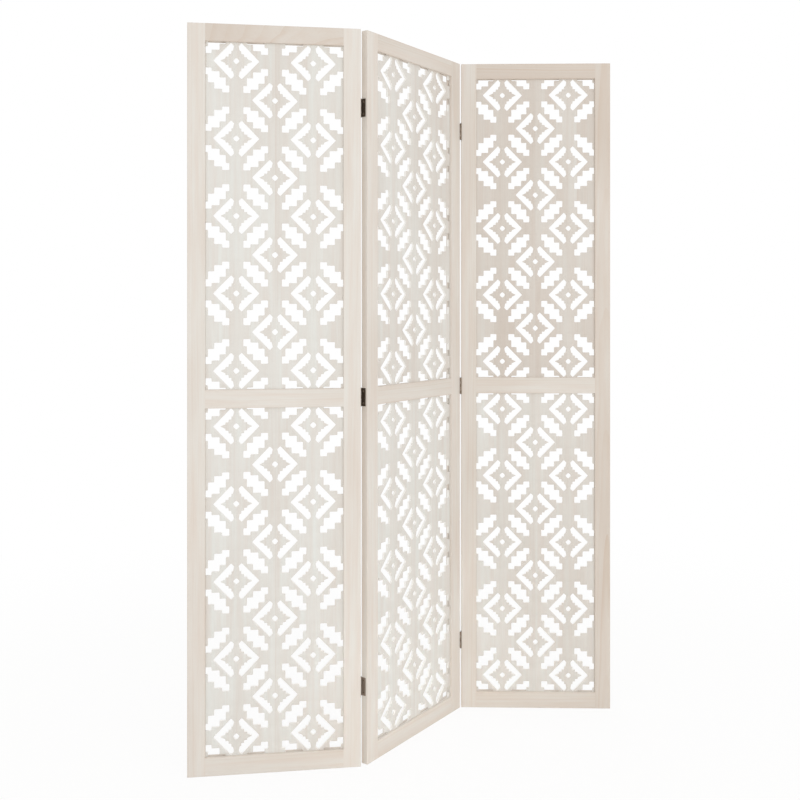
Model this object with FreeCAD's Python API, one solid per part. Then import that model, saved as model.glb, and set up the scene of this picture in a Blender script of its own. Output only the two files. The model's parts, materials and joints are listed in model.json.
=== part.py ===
import FreeCAD, Part
import math
import os

# Folding screen of three leaves that stand in a zigzag.
# Each leaf is a dowelled frame of two stiles and three rails, which holds two fretwork panels in grooves.
# Butt hinges on the edges join the leaves: their pins stand behind the left joint and before the right joint.
# Lengths are millimetres and angles degrees. X runs right across the screen, Y away from the viewer, Z up.

# Leaf frame
leaf_height = 1700.0
leaf_width = 392.0
leaf_thickness = 17.0
stile_width = 40.0
top_rail_height = 40.0
middle_rail_height = 42.0
bottom_rail_height = 42.0

# How each leaf is turned in plan from the X axis, as the screen stands
left_leaf_turn = 8.9
centre_leaf_turn = 54.95
right_leaf_turn = 0.0

# Fretwork panels, which sit in grooves along the inner edges of the frame
panel_thickness = 5.0
groove_depth = 8.0
groove_side_clearance = 0.1
panel_edge_clearance = 0.5
uncut_border = 5.0

# The fretwork is drawn on a grid of cells, in which these outlines are given
cell_across = 7.91
cell_up = 8.0
motif_spacing = 11
dot_diagonal = 16.0
block_steps = (2.0, 2.25, 1.75, 1.0)
chevron_tip = (6.55, 0.0)
chevron_arm_end = ((1.5, 5.15), (0.65, 4.3))
chevron_inner_steps = (
    (0.97, 2.85), (1.4, 2.85), (1.4, 1.97), (2.22, 1.97), (2.22, 1.17), (3.1, 1.17), (3.1, 0.65),
)
chevron_notch = (4.55, 0.0)

# Dowels between rails and stiles
dowel_diameter = 8.0
dowel_length = 50.0
dowel_glue_clearance = 0.1
dowel_end_clearance = 0.8

# Butt hinges
hinge_height = 42.0
hinge_end_distance = 179.0
hinge_plate_thickness = 0.9
hinge_plate_margin = 4.75
hinge_closed_gap = 0.3
pin_diameter = 2.0
pin_running_clearance = 0.05
pin_head_height = 0.9
pin_head_chamfer = 0.4
knuckle_count = 5
knuckle_wall = 0.9
knuckle_end_gap = 0.3
knuckle_turning_clearance = 0.4
barrel_clearance = 0.15

# Hinge screws
screw_end_distance = 7.0
screw_length = 16.0
screw_shank_diameter = 2.8
screw_head_diameter = 4.6
screw_tip_length = 3.0
screw_hole_clearance = 0.05

# Sizes that follow from the driving dimensions
opening_width = leaf_width - 2 * stile_width
opening_height = (leaf_height - top_rail_height - middle_rail_height - bottom_rail_height) / 2
lower_opening_bottom = bottom_rail_height
middle_rail_bottom = lower_opening_bottom + opening_height
upper_opening_bottom = middle_rail_bottom + middle_rail_height
top_rail_bottom = upper_opening_bottom + opening_height
groove_front = (leaf_thickness - panel_thickness) / 2 - groove_side_clearance
groove_back = leaf_thickness - groove_front
knuckle_radius = pin_diameter / 2 + pin_running_clearance + knuckle_wall
pin_standoff = knuckle_radius + barrel_clearance
edge_gap = 2 * hinge_plate_thickness + hinge_closed_gap
hinge_heights = {
    "top": leaf_height - hinge_end_distance,
    "middle": leaf_height / 2,
    "bottom": hinge_end_distance,
}

# Each rail: the height of its lower edge, its own height, and which edges are grooved for a panel
rails = {
    "top_rail": (top_rail_bottom, top_rail_height, True, False),
    "middle_rail": (middle_rail_bottom, middle_rail_height, True, True),
    "bottom_rail": (0.0, bottom_rail_height, False, True),
}
openings = {"lower_fret_panel": lower_opening_bottom, "upper_fret_panel": upper_opening_bottom}

# Pins as each leaf sees them: place across and through the leaf,
# and which way the leaf's edge and its body lie from the pin
pins = {
    "left_leaf": {"left": (leaf_width + edge_gap / 2, leaf_thickness + pin_standoff, -1, -1)},
    "centre_leaf": {
        "left": (-edge_gap / 2, leaf_thickness + pin_standoff, 1, -1),
        "right": (leaf_width + edge_gap / 2, -pin_standoff, -1, 1),
    },
    "right_leaf": {"right": (-edge_gap / 2, -pin_standoff, 1, 1)},
}


def box(x0, x1, y0, y1, z0, z1):
    """Block between two opposite corners, in any order."""
    low = FreeCAD.Vector(min(x0, x1), min(y0, y1), min(z0, z1))
    return Part.makeBox(abs(x1 - x0), abs(y1 - y0), abs(z1 - z0), low)


def rod_across(radius, x0, x1, y, z):
    """Round rod along X."""
    start = FreeCAD.Vector(min(x0, x1), y, z)
    return Part.makeCylinder(radius, abs(x1 - x0), start, FreeCAD.Vector(1, 0, 0))


def upright_rod(radius, x, y, z0, z1):
    """Round rod along Z."""
    return Part.makeCylinder(radius, z1 - z0, FreeCAD.Vector(x, y, z0))


# Frame

def dowel_heights(rail):
    """Heights of the two dowels at a rail's end: the quarter points of its ungrooved part."""
    bottom, height, grooved_below, grooved_above = rail
    low = bottom + groove_depth * grooved_below
    high = bottom + height - groove_depth * grooved_above
    return [low + (high - low) * share for share in (0.25, 0.75)]


def dowel_holes(edge, direction):
    """Holes for every dowel of one stile joint, running from the joint into the wood."""
    depth = dowel_length / 2 + dowel_end_clearance
    radius = dowel_diameter / 2 + dowel_glue_clearance
    return [
        rod_across(radius, edge, edge + direction * depth, leaf_thickness / 2, height)
        for rail in rails.values()
        for height in dowel_heights(rail)
    ]


def stile(inner_edge, outward, screw_holes):
    """Upright of the frame, grooved and bored on its inner edge, with pilot holes where it carries hinges."""
    shape = box(inner_edge, inner_edge + outward * stile_width, 0, leaf_thickness, 0, leaf_height)
    grooves = [
        box(inner_edge, inner_edge + outward * groove_depth, groove_front, groove_back,
            bottom - groove_depth, bottom + opening_height + groove_depth)
        for bottom in openings.values()
    ]
    return shape.cut(grooves + dowel_holes(inner_edge, outward) + screw_holes)


def rail_board(rail):
    """Cross board of the frame, grooved along the edges that meet a panel and bored at both ends."""
    bottom, height, grooved_below, grooved_above = rail
    left, right = stile_width, leaf_width - stile_width
    cuts = dowel_holes(left, 1) + dowel_holes(right, -1)
    if grooved_below:
        cuts.append(box(left, right, groove_front, groove_back, bottom, bottom + groove_depth))
    if grooved_above:
        top = bottom + height
        cuts.append(box(left, right, groove_front, groove_back, top - groove_depth, top))
    return box(left, right, 0, leaf_thickness, bottom, bottom + height).cut(cuts)


def frame_dowels():
    """The dowels of one leaf, half in the stile and half in the rail."""
    return Part.makeCompound([
        rod_across(dowel_diameter / 2, joint - dowel_length / 2, joint + dowel_length / 2,
                   leaf_thickness / 2, height)
        for joint in (stile_width, leaf_width - stile_width)
        for rail in rails.values()
        for height in dowel_heights(rail)
    ])


# Fretwork

def outline(points):
    """Closed outline in the panel's plane from points given across and up."""
    corners = [FreeCAD.Vector(x, 0, z) for x, z in points]
    return Part.makePolygon(corners + corners[:1])


def from_cells(points, across, up, flip_across, flip_up):
    """Turn points given in grid cells into places on the panel, mirrored as asked about (across, up)."""
    return [(across + flip_across * x * cell_across, up + flip_up * z * cell_up) for x, z in points]


def chevron_cells():
    """One chevron of a diamond: straight outer edges, square ends and a stepped inner edge."""
    upper = [chevron_tip, *chevron_arm_end, *chevron_inner_steps, chevron_notch]
    lower = [(x, -z) for x, z in reversed(upper[1:-1])]
    return upper + lower


def block_cells():
    """Stepped block: a staircase up each side of its long diagonal, centred on the origin."""
    x = z = -sum(block_steps) / 2
    right_side = [(x, z)]
    for run, rise in zip(block_steps, reversed(block_steps)):
        x += run
        right_side.append((x, z))
        z += rise
        right_side.append((x, z))
    left_side = [(z, x) for x, z in reversed(right_side[1:-1])]
    return right_side + left_side


def diamond_outlines(across, up):
    """The two chevrons of one diamond, and its centre dot: a small square that stands on its corner."""
    chevrons = [outline(from_cells(chevron_cells(), across, up, side, 1)) for side in (-1, 1)]
    reach = dot_diagonal / 2
    dot = [(across + reach, up), (across, up + reach), (across - reach, up), (across, up - reach)]
    return chevrons + [outline(dot)]


def block_outlines(across, up, lean, half_width, half_height):
    """One stepped block, cut short where it runs past the area that may be pierced."""
    reach_across = cell_across * sum(block_steps) / 2
    reach_up = cell_up * sum(block_steps) / 2
    shape = outline(from_cells(block_cells(), across, up, lean, 1))
    if abs(across) + reach_across <= half_width and abs(up) + reach_up <= half_height:
        return [shape]
    seen_across = half_width - abs(across) + reach_across
    seen_up = half_height - abs(up) + reach_up
    if seen_across < cell_across or seen_up < cell_up:
        return []
    area = outline([(-half_width, -half_height), (half_width, -half_height),
                    (half_width, half_height), (-half_width, half_height)])
    kept = Part.Face(shape).common(Part.Face(area))
    return [face.OuterWire for face in kept.Faces]


def fret_panel():
    """Pierced panel about the origin: diamonds on every other grid point, blocks half-way between them."""
    half_width = opening_width / 2 + groove_depth - panel_edge_clearance
    half_height = opening_height / 2 + groove_depth - panel_edge_clearance
    cut_width = half_width - uncut_border
    cut_height = half_height - uncut_border
    step_across = motif_spacing * cell_across
    step_up = motif_spacing * cell_up
    columns = math.ceil(half_width / step_across)
    rows = math.ceil(half_height / step_up)
    cuts = []
    for column in range(-columns, columns + 1):
        for row in range(-rows, rows + 1):
            across, up = column * step_across, row * step_up
            has_diamond = (column + row) % 2 == 1
            tip = abs(across) + chevron_tip[0] * cell_across
            end = abs(up) + chevron_arm_end[0][1] * cell_up
            if has_diamond and tip < cut_width and end < cut_height:
                cuts += diamond_outlines(across, up)
            lean = -1 if has_diamond else 1
            cuts += block_outlines(across + step_across / 2, up + step_up / 2, lean, cut_width, cut_height)
    edge = outline([(-half_width, -half_height), (half_width, -half_height),
                    (half_width, half_height), (-half_width, half_height)])
    face = Part.makeFace([edge] + cuts, "Part::FaceMakerBullseye")
    return face.extrude(FreeCAD.Vector(0, panel_thickness, 0))


# Hinges

def knuckle_slots(height, own):
    """Ends of the knuckles that one plate owns (own 0: the first, third and so on; own 1: the rest)."""
    length = (hinge_height - (knuckle_count - 1) * knuckle_end_gap) / knuckle_count
    bottom = height - hinge_height / 2
    starts = [bottom + k * (length + knuckle_end_gap) for k in range(own, knuckle_count, 2)]
    return [(start, start + length) for start in starts]


def screw(pin, height, radial_clearance=0.0):
    """Countersunk screw, flush in the hinge plate and running into the stile."""
    pin_x, pin_y, side, depth = pin
    shank = screw_shank_diameter / 2 + radial_clearance
    head = screw_head_diameter / 2 + radial_clearance
    head_depth = (screw_head_diameter - screw_shank_diameter) / 2
    length = screw_length + radial_clearance
    profile = [(0, 0), (0, head), (head_depth, shank), (length - screw_tip_length, shank), (length, 0)]
    corners = [FreeCAD.Vector(x, radius, 0) for x, radius in profile]
    face = Part.Face(Part.makePolygon(corners + corners[:1]))
    origin = FreeCAD.Vector(0, 0, 0)
    solid = face.revolve(origin, FreeCAD.Vector(1, 0, 0), 360)
    if side < 0:
        solid.rotate(origin, FreeCAD.Vector(0, 0, 1), 180)
    plate_near, plate_far = plate_reach()
    solid.translate(FreeCAD.Vector(pin_x + side * hinge_closed_gap / 2,
                                   pin_y + depth * (plate_near + plate_far) / 2, height))
    return solid


def plate_reach():
    """Nearest and farthest edges of a hinge plate from the pin, measured through the leaf."""
    near = knuckle_radius + knuckle_turning_clearance
    return near, pin_standoff + leaf_thickness - hinge_plate_margin


def screw_heights(height):
    """Heights of the two screws of one plate."""
    reach = hinge_height / 2 - screw_end_distance
    return [height - reach, height + reach]


def hinge_plate(pin, height, own):
    """Plate screwed to a stile's edge, with the knuckles that it owns round the pin."""
    pin_x, pin_y, side, depth = pin
    near, far = plate_reach()
    inner, outer = pin_x + side * hinge_closed_gap / 2, pin_x + side * edge_gap / 2
    low, high = height - hinge_height / 2, height + hinge_height / 2
    shape = box(inner, outer, pin_y + depth * near, pin_y + depth * far, low, high)
    for start, end in knuckle_slots(height, own):
        neck = box(inner, outer, pin_y, pin_y + depth * near, start, end)
        shape = shape.fuse([neck, upright_rod(knuckle_radius, pin_x, pin_y, start, end)])
    bore = upright_rod(pin_diameter / 2 + pin_running_clearance, pin_x, pin_y, low, high)
    holes = [screw(pin, place, screw_hole_clearance) for place in screw_heights(height)]
    return shape.cut([bore] + holes).removeSplitter()


def hinge_pin(pin, height):
    """Pin with a chamfered head at each end that keeps it in the barrel."""
    pin_x, pin_y = pin[:2]
    half = hinge_height / 2
    shank = pin_diameter / 2
    tip = half + pin_head_height
    upper = [(shank, half), (knuckle_radius, half), (knuckle_radius, tip - pin_head_chamfer),
             (knuckle_radius - pin_head_chamfer, tip), (0, tip)]
    profile = upper + [(radius, -z) for radius, z in reversed(upper)]
    corners = [FreeCAD.Vector(radius, 0, z) for radius, z in profile]
    face = Part.Face(Part.makePolygon(corners + corners[:1]))
    solid = face.revolve(FreeCAD.Vector(0, 0, 0), FreeCAD.Vector(0, 0, 1), 360)
    solid.translate(FreeCAD.Vector(pin_x, pin_y, height))
    return solid


# Assembly

def leaf_nodes(leaf, panel):
    """Every piece that one leaf carries, by name, in the leaf's own frame."""
    screw_holes = {-1: [], 1: []}
    screws = []
    nodes = {}
    for joint, pin in pins[leaf].items():
        on_centre = leaf == "centre_leaf"
        for level, height in hinge_heights.items():
            own = 0 if on_centre else 1
            holder = "centre_plate" if on_centre else "plate"
            nodes[f"{joint}_{level}_hinge_{holder}"] = hinge_plate(pin, height, own)
            if on_centre:
                nodes[f"{joint}_{level}_hinge_pin"] = hinge_pin(pin, height)
            for place in screw_heights(height):
                screws.append(screw(pin, place))
                screw_holes[-pin[2]].append(screw(pin, place, screw_hole_clearance))
    nodes[f"{leaf}_left_stile"] = stile(stile_width, -1, screw_holes[-1])
    nodes[f"{leaf}_right_stile"] = stile(leaf_width - stile_width, 1, screw_holes[1])
    for name, rail in rails.items():
        nodes[f"{leaf}_{name}"] = rail_board(rail)
    for name, bottom in openings.items():
        board = panel.copy()
        board.translate(FreeCAD.Vector(leaf_width / 2, (leaf_thickness - panel_thickness) / 2,
                                       bottom + opening_height / 2))
        nodes[f"{leaf}_{name}"] = board
    nodes[f"{leaf}_dowels"] = frame_dowels()
    nodes[f"{leaf}_hinge_screws"] = Part.makeCompound(screws)
    return nodes


def leaf_places():
    """Where each leaf stands: neighbours share their pin, and the origin is the middle of the footprint."""
    upward = FreeCAD.Vector(0, 0, 1)
    turns = {"left_leaf": left_leaf_turn, "centre_leaf": centre_leaf_turn, "right_leaf": right_leaf_turn}
    rotations = {leaf: FreeCAD.Rotation(upward, turn) for leaf, turn in turns.items()}

    def turned_pin(leaf, joint):
        x, y = pins[leaf][joint][:2]
        return rotations[leaf].multVec(FreeCAD.Vector(x, y, 0))

    starts = {
        "centre_leaf": FreeCAD.Vector(0, 0, 0),
        "left_leaf": turned_pin("centre_leaf", "left") - turned_pin("left_leaf", "left"),
        "right_leaf": turned_pin("centre_leaf", "right") - turned_pin("right_leaf", "right"),
    }
    corners = [
        starts[leaf] + rotations[leaf].multVec(FreeCAD.Vector(x, y, 0))
        for leaf in turns for x in (0, leaf_width) for y in (0, leaf_thickness)
    ]
    middle = FreeCAD.Vector((min(p.x for p in corners) + max(p.x for p in corners)) / 2,
                            (min(p.y for p in corners) + max(p.y for p in corners)) / 2, 0)
    return {leaf: FreeCAD.Placement(starts[leaf] - middle, rotations[leaf]) for leaf in turns}


def main():
    """Build every piece, stand it in its place and write it out."""
    os.makedirs("parts", exist_ok=True)
    panel = fret_panel()
    places = leaf_places()
    for leaf, place in places.items():
        for name, shape in leaf_nodes(leaf, panel).items():
            shape.Placement = place.multiply(shape.Placement)
            shape.exportStep(f"parts/{name}.step")
    for joint in ("left", "right"):
        x, y = pins["centre_leaf"][joint][:2]
        axis = places["centre_leaf"].multVec(FreeCAD.Vector(x, y, leaf_height / 2))
        print(f"{joint} pin axis at x {axis.x:.4f}, y {axis.y:.4f}, middle height {axis.z:.1f}")
    print(f"left joint folded {centre_leaf_turn - left_leaf_turn:.2f} degrees from flat, "
          f"right joint {centre_leaf_turn - right_leaf_turn:.2f} degrees")


main()
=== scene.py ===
"""Looks of a three-leaf folding screen: whitewashed frames, pierced fretwork, bronzed butt hinges, studio and camera.

Lengths are metres in the row frame. A leaf's own frame has X across its width, Y from its front to its back
and Z up, with the origin at its front left bottom corner.
"""

import json
import logging
import math
from dataclasses import astuple, dataclass, replace
from enum import Enum

import bmesh
import bpy
import numpy as np
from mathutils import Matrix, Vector, geometry


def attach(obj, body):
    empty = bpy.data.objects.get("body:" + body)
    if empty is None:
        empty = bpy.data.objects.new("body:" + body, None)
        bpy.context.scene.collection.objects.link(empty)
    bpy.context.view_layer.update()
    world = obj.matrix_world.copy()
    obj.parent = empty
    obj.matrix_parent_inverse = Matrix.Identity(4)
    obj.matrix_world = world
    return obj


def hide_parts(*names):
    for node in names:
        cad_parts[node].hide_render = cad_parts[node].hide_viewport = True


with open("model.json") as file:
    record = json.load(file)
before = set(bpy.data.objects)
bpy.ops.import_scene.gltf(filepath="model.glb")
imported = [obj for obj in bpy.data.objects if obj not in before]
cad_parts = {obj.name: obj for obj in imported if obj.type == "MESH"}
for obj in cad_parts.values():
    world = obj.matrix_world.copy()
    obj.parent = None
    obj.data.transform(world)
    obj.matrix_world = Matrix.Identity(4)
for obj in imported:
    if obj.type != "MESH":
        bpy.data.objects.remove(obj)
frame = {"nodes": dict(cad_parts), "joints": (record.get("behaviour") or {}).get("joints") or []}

log = logging.getLogger("folding_screen")

MM = 0.001
# Marks that a piece's points carry for its finish
GRAIN = "grain"
WEAR_AND_PAINTED_LIGHT = "bare"
SCANT = "scant"
OPENING = "opening"


# Shared helpers

def linear(hex_colour: str) -> tuple[float, float, float, float]:
    """Turn an sRGB colour into the linear one that shaders use.

    Args:
        hex_colour: the colour as "#rrggbb".

    Returns:
        Linear red, green and blue, and full alpha.
    """
    srgb = np.array([int(hex_colour[k:k + 2], 16) for k in (1, 3, 5)]) / 255
    value = np.where(srgb <= 0.04045, srgb / 12.92, ((srgb + 0.055) / 1.055) ** 2.4)
    return (*value.tolist(), 1.0)


def add_node(tree: bpy.types.NodeTree, kind: str, inputs: dict | None = None, **settings) -> bpy.types.Node:
    """Add a shader node with its settings and links.

    Args:
        tree: the node tree that gets the node.
        kind: the node's type name, after the "ShaderNode" that they all begin with.
        inputs: for each input, by name or number, a value, a socket, or a node whose first output is linked.
        settings: properties of the node itself.

    Returns:
        The new node.
    """
    node = tree.nodes.new(f"ShaderNode{kind}")
    for key, value in settings.items():
        setattr(node, key, value)
    for key, value in (inputs or {}).items():
        socket = node.inputs[key] if isinstance(key, int) else next(
            s for s in node.inputs if s.name == key and s.enabled)
        if isinstance(value, bpy.types.Node):
            value = next(s for s in value.outputs if s.enabled)
        if isinstance(value, bpy.types.NodeSocket):
            tree.links.new(value, socket)
        else:
            socket.default_value = value
    return node


def new_material(name: str) -> tuple[bpy.types.Material, bpy.types.NodeTree]:
    """Make an empty node material.

    Args:
        name: the material's name.

    Returns:
        The material and its node tree.
    """
    material = bpy.data.materials.new(name)
    material.use_nodes = True
    material.node_tree.nodes.clear()
    return material, material.node_tree


# Surfaces

@dataclass
class Surface:
    """Points and faces of a piece on its way to a mesh.

    bare tells for each point how much wear or thinning the finish shows there, from 0 to 1, and also where light is
    painted: painted shade on a stile's groove lip and a painted highlight on the walls of a panel's cut-outs.
    smooth tells for each face whether it is shaded as part of a curve.
    """

    points: np.ndarray
    faces: list[list[int]]
    bare: np.ndarray
    smooth: np.ndarray

    @staticmethod
    def join(surfaces: list["Surface"]) -> "Surface":
        """Put several surfaces into one.

        Args:
            surfaces: the surfaces, in order.

        Returns:
            One surface with all their points and faces.
        """
        starts = np.cumsum([0] + [len(s.points) for s in surfaces])
        faces = [[corner + start for corner in face] for s, start in zip(surfaces, starts) for face in s.faces]
        return Surface(np.concatenate([s.points for s in surfaces]), faces,
                       np.concatenate([s.bare for s in surfaces]), np.concatenate([s.smooth for s in surfaces]))


def ring_quads(rings: int, around: int) -> np.ndarray:
    """Faces of a grid that is closed around: each point with the next one and the two on the next ring.

    Args:
        rings: how many rings there are.
        around: how many points each ring has.

    Returns:
        One row of four point numbers for each face.
    """
    ring, point = np.meshgrid(np.arange(rings - 1), np.arange(around), indexing="ij")
    after = (point + 1) % around
    quads = np.stack([ring * around + point, ring * around + after,
                      (ring + 1) * around + after, (ring + 1) * around + point], axis=-1)
    return quads.reshape(-1, 4)


def carried_profile(grid: np.ndarray, bare: np.ndarray) -> Surface:
    """Close a profile that is carried along a path: quads along the path, and one cap at each end.

    Args:
        grid: points of every ring, as rings by points by three.
        bare: the wear and painted light of each point of the grid.

    Returns:
        The closed surface.
    """
    rings, around = grid.shape[:2]
    quads = ring_quads(rings, around)
    first, last = np.arange(around)[::-1], np.arange(around) + (rings - 1) * around
    faces = quads.tolist() + [first.tolist(), last.tolist()]
    smooth = np.r_[np.ones(len(quads), bool), False, False]
    return Surface(grid.reshape(-1, 3), faces, bare.ravel(), smooth)


def moved_in(loop: np.ndarray, distance: float) -> np.ndarray:
    """Move a closed outline to its left by the same distance all along.

    Each corner moves along the sum of its two edges' normals, divided by one plus their product.

    Args:
        loop: the outline's corners, in order.
        distance: how far to move.

    Returns:
        The moved corners.
    """
    ahead = np.roll(loop, -1, axis=0) - loop
    ahead /= np.linalg.norm(ahead, axis=1, keepdims=True)
    normal = np.stack([-ahead[:, 1], ahead[:, 0]], axis=1)
    before = np.roll(normal, 1, axis=0)
    corner = (normal + before) / (1 + np.sum(normal * before, axis=1, keepdims=True))
    return loop + distance * corner


def rounded(loop: np.ndarray, radius: float, steps: int) -> np.ndarray:
    """Round every corner of an outline.

    Each corner becomes a parabola that starts and ends on its two edges, at the radius or a little under half an
    edge.

    Args:
        loop: the outline's corners, in order.
        radius: how far from the corner the rounding starts.
        steps: how many pieces each rounding has.

    Returns:
        The points of the rounded outline.
    """
    edge_share = 0.46
    ahead = np.roll(loop, -1, axis=0) - loop
    behind = np.roll(loop, 1, axis=0) - loop
    ahead_length = np.linalg.norm(ahead, axis=1, keepdims=True)
    behind_length = np.linalg.norm(behind, axis=1, keepdims=True)
    reach = np.minimum(radius, edge_share * np.minimum(ahead_length, behind_length))
    start = (loop + behind / behind_length * reach)[:, None]
    end = (loop + ahead / ahead_length * reach)[:, None]
    t = np.linspace(0, 1, steps + 1)[None, :, None]
    arcs = (1 - t) ** 2 * start + 2 * t * (1 - t) * loop[:, None] + t ** 2 * end
    return arcs.reshape(-1, 2)


def turned_left(loop: np.ndarray, filled: bool) -> np.ndarray:
    """Order an outline so that the material lies on its left.

    Args:
        loop: the outline's corners.
        filled: whether the material is inside the outline, and not outside it.

    Returns:
        The corners, in the order that was asked for.
    """
    after = np.roll(loop, -1, axis=0)
    area = np.sum(loop[:, 0] * after[:, 1] - loop[:, 1] * after[:, 0])
    return loop if (area > 0) == filled else loop[::-1]


def quarter_round(radius: float, steps: int) -> tuple[np.ndarray, np.ndarray]:
    """Ease an edge between a face and a side.

    Args:
        radius: the easing's radius.
        steps: how many pieces it has.

    Returns:
        How far each point lies in from the side, and how far below the face, from the face to the side.
    """
    turn = np.linspace(0, np.pi / 2, steps + 1)
    return radius * (1 - np.sin(turn)), radius * (1 - np.cos(turn))


def pierced_sheet(loops: list[np.ndarray], insets: np.ndarray, depths: np.ndarray, bare: np.ndarray) -> Surface:
    """Sheet with cut-outs: walls that follow every outline through the thickness, and two triangulated faces.

    A level is the set of all outlines at one depth, each moved into the material by its inset there.

    Args:
        loops: the outer outline and then the cut-outs, each with the material on its left.
        insets: how far each outline lies inside the material, as levels by outlines.
        depths: the depth of each level, from the front face to the back.
        bare: the wear and painted light of each level.

    Returns:
        The closed surface, with the outlines' plane as X and Z and the depth as Y.
    """
    flat = [np.concatenate([moved_in(loop, inset) for loop, inset in zip(loops, level)]) for level in insets]
    count = len(flat[0])
    levels = len(depths)
    points = np.stack([np.stack([level[:, 0], np.full(count, depth), level[:, 1]], axis=1)
                       for level, depth in zip(flat, depths)])
    sizes = [len(loop) for loop in loops]
    starts = np.cumsum([0] + sizes[:-1])
    after = np.arange(1, count + 1)
    after[starts + np.array(sizes) - 1] = starts
    point = np.arange(count)
    level = np.arange(levels - 1)[:, None] * count
    walls = np.stack([level + point, level + after, level + count + after, level + count + point], axis=-1)
    walls = walls.reshape(-1, 4)
    rings = [ring.tolist() for ring in np.split(point, starts[1:])]
    front, back = (sheet_face(flat[k], rings) + k * count for k in (0, levels - 1))
    faces = walls.tolist() + front.tolist() + back[:, ::-1].tolist()
    smooth = np.arange(len(faces)) < len(walls)
    return Surface(points.reshape(-1, 3), faces, np.repeat(bare, count), smooth)


def sheet_face(flat: np.ndarray, rings: list[list[int]]) -> np.ndarray:
    """Triangles between an outer outline and its holes.

    Args:
        flat: all outlines' points in their plane.
        rings: the numbers of each outline's points, in order.

    Returns:
        One row of three point numbers for each triangle.
    """
    inside_without_holes, tolerance = 2, 1e-9
    found = geometry.delaunay_2d_cdt([Vector(p) for p in flat], [], rings, inside_without_holes, tolerance)
    origin = np.array([numbers[0] for numbers in found[3]])
    return origin[np.array(found[2])]


def weld(mesh: bpy.types.Mesh) -> None:
    """Merge points that coincide, drop the faces that this closes up, and turn all faces outwards."""
    merge_distance = 1e-6
    work = bmesh.new()
    work.from_mesh(mesh)
    bmesh.ops.remove_doubles(work, verts=work.verts, dist=merge_distance)
    bmesh.ops.recalc_face_normals(work, faces=work.faces)
    work.to_mesh(mesh)
    work.free()


def add_piece(name: str, surface: Surface, marks: dict[str, np.ndarray], material: bpy.types.Material,
              body: str, node: str) -> bpy.types.Object:
    """Turn a surface into a piece that stands for a CAD node.

    Args:
        name: the piece's name.
        surface: its points, in the row frame, and faces.
        marks: what the finish reads at each point besides its wear and painted light, a number or a vector, by name.
        material: its finish.
        body: the CAD body that it rides on.
        node: the CAD node that it stands for.

    Returns:
        The new object.
    """
    sharp_from = math.radians(40)
    mesh = bpy.data.meshes.new(name)
    mesh.from_pydata(surface.points.tolist(), [], surface.faces)
    mesh.polygons.foreach_set("use_smooth", surface.smooth)
    for mark, values in {WEAR_AND_PAINTED_LIGHT: surface.bare, **marks}.items():
        kind, part = ("FLOAT", "value") if values.ndim == 1 else ("FLOAT_VECTOR", "vector")
        mesh.attributes.new(mark, kind, "POINT").data.foreach_set(part, values.astype(np.float32).ravel())
    weld(mesh)
    mesh.set_sharp_from_angle(angle=sharp_from)
    mesh.materials.append(material)
    piece = bpy.data.objects.new(name, mesh)
    bpy.context.scene.collection.objects.link(piece)
    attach(piece, body)
    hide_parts(node)
    log.info("%s: %d faces on %s", name, len(mesh.polygons), body)
    return piece


# Finishes

class Makeup(Enum):
    """How a wooden piece is made up."""

    BOARD = "one board"
    STRIPS = "strips glued edge to edge"


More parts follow.
